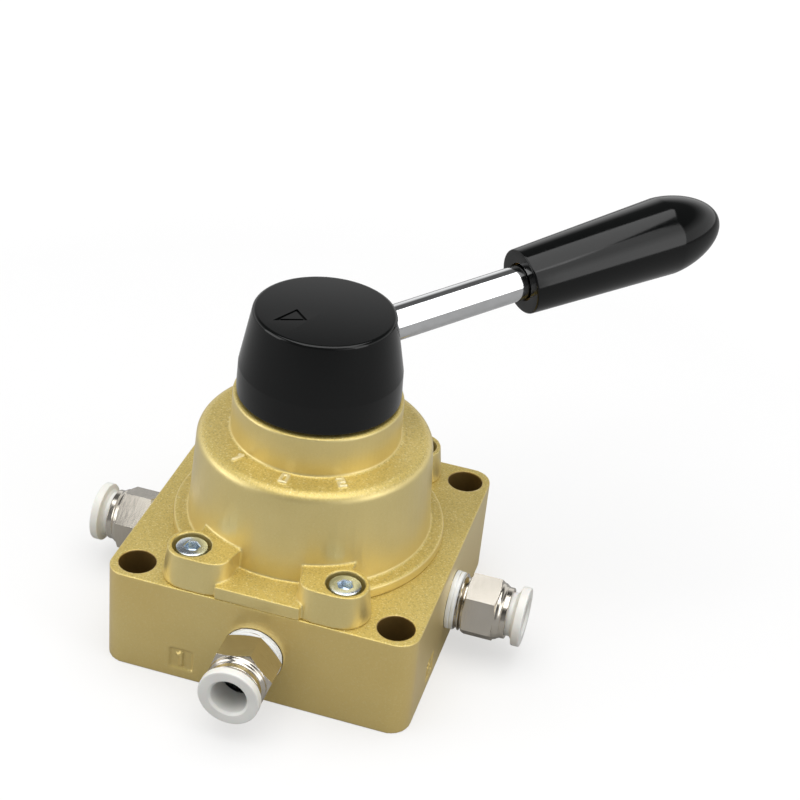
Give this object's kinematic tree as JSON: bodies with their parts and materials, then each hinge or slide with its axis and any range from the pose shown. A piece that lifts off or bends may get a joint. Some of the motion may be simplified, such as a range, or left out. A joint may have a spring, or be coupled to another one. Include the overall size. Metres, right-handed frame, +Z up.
{
  "type": "hand rotary valve",
  "caption": "Manual rotary air valve: square ported block, round bonnet, push-in tube fittings, and a knob with an inclined lever that turns the disc inside.",
  "frame": {"origin": "centre of the block's flat underside", "axes": "+Z up along the spindle, -Y out of the front port, +X out of the right port"},
  "size_m": [0.1249, 0.1241, 0.0911],
  "materials": {
    "gold_casting": "champagne-gold satin paint on a sand-blasted die casting",
    "zinc_steel": "bright blue zinc on steel",
    "seal_rubber": "black nitrile, satin",
    "bronze": "sintered bronze, oiled",
    "brass": "turned brass",
    "steel": "ground steel",
    "aluminium": "machined",
    "nickel_plate": "bright nickel on turned brass",
    "collar_plastic": "white acetal, satin",
    "thread_sealant": "white dry sealant",
    "chrome": "bright chrome plate",
    "black_plastic": "glossy black phenolic"
  },
  "bodies": {
    "valve_body": {"body_block": "gold_casting", "bonnet": "gold_casting", "bonnet_screws": "zinc_steel", "bonnet_seal": "seal_rubber", "port_seals": "seal_rubber", "seat_bush": "bronze", "spindle_bush": "bronze", "stop_pin": "steel", "front_fitting_body": "nickel_plate", "front_guide_ring": "nickel_plate", "front_grab_ring": "steel", "front_tube_seal": "seal_rubber", "front_thread_seal": "thread_sealant", "right_fitting_body": "nickel_plate", "right_guide_ring": "nickel_plate", "right_grab_ring": "steel", "right_tube_seal": "seal_rubber", "right_thread_seal": "thread_sealant", "back_fitting_body": "nickel_plate", "back_guide_ring": "nickel_plate", "back_grab_ring": "steel", "back_tube_seal": "seal_rubber", "back_thread_seal": "thread_sealant", "left_fitting_body": "nickel_plate", "left_guide_ring": "nickel_plate", "left_grab_ring": "steel", "left_tube_seal": "seal_rubber", "left_thread_seal": "thread_sealant"},
    "rotor": {"spindle": "steel", "rotor_disc": "aluminium", "pressure_spring": "steel", "thrust_washer": "bronze", "spindle_seal": "seal_rubber", "detent_hub": "aluminium", "detent_springs": "steel", "knob": "black_plastic", "lever_rod": "chrome", "lever_grip": "black_plastic", "grip_insert": "brass"},
    "ball_a": {"detent_ball_a": "steel"},
    "ball_b": {"detent_ball_b": "steel"},
    "front_collar": {"front_release_collar": "collar_plastic"},
    "right_collar": {"right_release_collar": "collar_plastic"},
    "back_collar": {"back_release_collar": "collar_plastic"},
    "left_collar": {"left_release_collar": "collar_plastic"}
  },
  "joints": [
    {"name": "handle_turn", "type": "hinge", "parent": "valve_body", "child": "rotor", "pos_m": [0, 0, 0.06], "axis": [0, 0, 1], "range_deg": [0, 90]},
    {"name": "ball_a_slide", "type": "slide", "parent": "rotor", "child": "ball_a", "axis": [0.7071, 0.7071, 0], "range_m": [0, 0.0006]},
    {"name": "ball_b_slide", "type": "slide", "parent": "rotor", "child": "ball_b", "axis": [-0.7071, -0.7071, 0], "range_m": [0, 0.0006]},
    {"name": "front_collar_push", "type": "slide", "parent": "valve_body", "child": "front_collar", "axis": [0, 1, 0], "range_m": [-0.0005, 0.0006]},
    {"name": "right_collar_push", "type": "slide", "parent": "valve_body", "child": "right_collar", "axis": [-1, 0, 0], "range_m": [0, 0.0011]},
    {"name": "back_collar_push", "type": "slide", "parent": "valve_body", "child": "back_collar", "axis": [0, -1, 0], "range_m": [0, 0.0011]},
    {"name": "left_collar_push", "type": "slide", "parent": "valve_body", "child": "left_collar", "axis": [1, 0, 0], "range_m": [0, 0.0011]}
  ]
}
